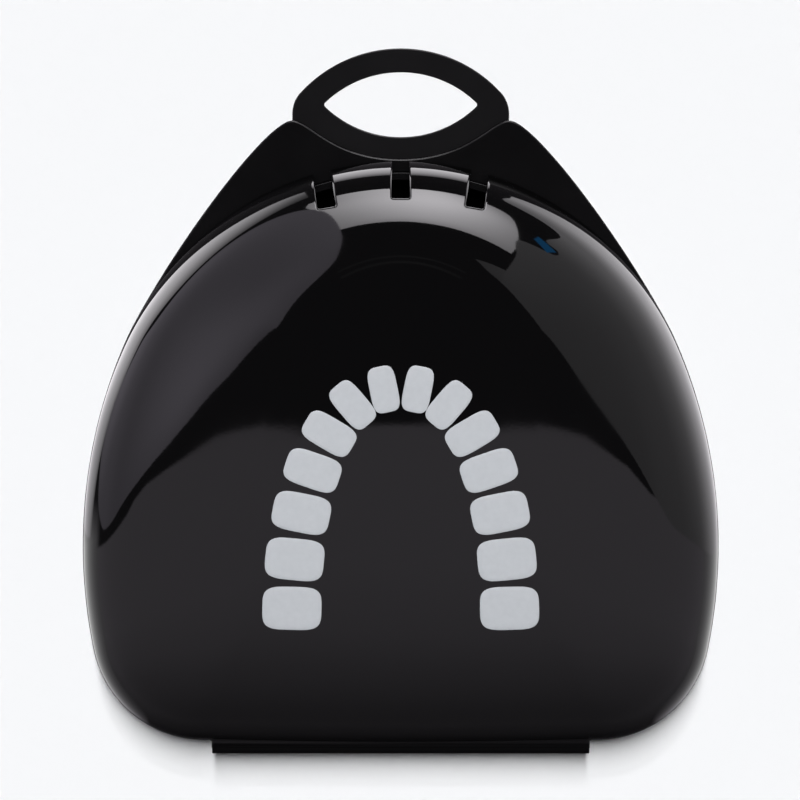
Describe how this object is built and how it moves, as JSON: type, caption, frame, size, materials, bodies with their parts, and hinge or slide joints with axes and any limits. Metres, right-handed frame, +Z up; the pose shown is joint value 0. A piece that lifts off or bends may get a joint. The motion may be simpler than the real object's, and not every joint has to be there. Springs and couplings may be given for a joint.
{
  "type": "mouthguard with case",
  "caption": "Clamshell mouthguard case with a living hinge, vent slots and a carry ring with a lens-shaped hole, holding a two-layer horseshoe mouthguard.",
  "frame": {"origin": "on the resting face, under the middle of the closed case's bounding box", "axes": "+Z up through the lid, +Y towards the carry ring, -Y towards the hinge, +X to the right seen from above with the ring away"},
  "size_m": [0.0802, 0.089, 0.0321],
  "materials": {
    "gloss_black": "polished injection-moulded polypropylene",
    "satin_black": "fine satin moulded texture",
    "print_grey": "light grey pad-printed ink",
    "guard_rubber": "smooth soft EVA",
    "guard_gel": "smooth milky fitting gel"
  },
  "bodies": {
    "back_half": {"back_shell": "gloss_black", "back_flange": "satin_black", "carry_ring": "satin_black", "locating_lip": "satin_black", "snap_bead": "satin_black", "drain_ribs": "gloss_black", "back_hinge_leaf": "satin_black", "hinge_web": "satin_black"},
    "lid_half": {"lid_dome": "gloss_black", "lid_flange": "satin_black", "lid_hinge_leaf": "satin_black", "printed_mark": "print_grey"},
    "mouthguard": {"guard_outer_layer": "guard_rubber", "guard_inner_layer": "guard_gel"}
  },
  "joints": [
    {"name": "lid_hinge", "type": "hinge", "parent": "back_half", "child": "lid_half", "pos_m": [0, -0.04458, 0.016], "axis": [1, 0, 0], "range_deg": [0, 180], "deforming": ["hinge_web"]},
    {"name": "guard_lift", "type": "slide", "parent": "back_half", "child": "mouthguard", "axis": [0, 0, 1], "range_m": [0, 0.004]}
  ]
}
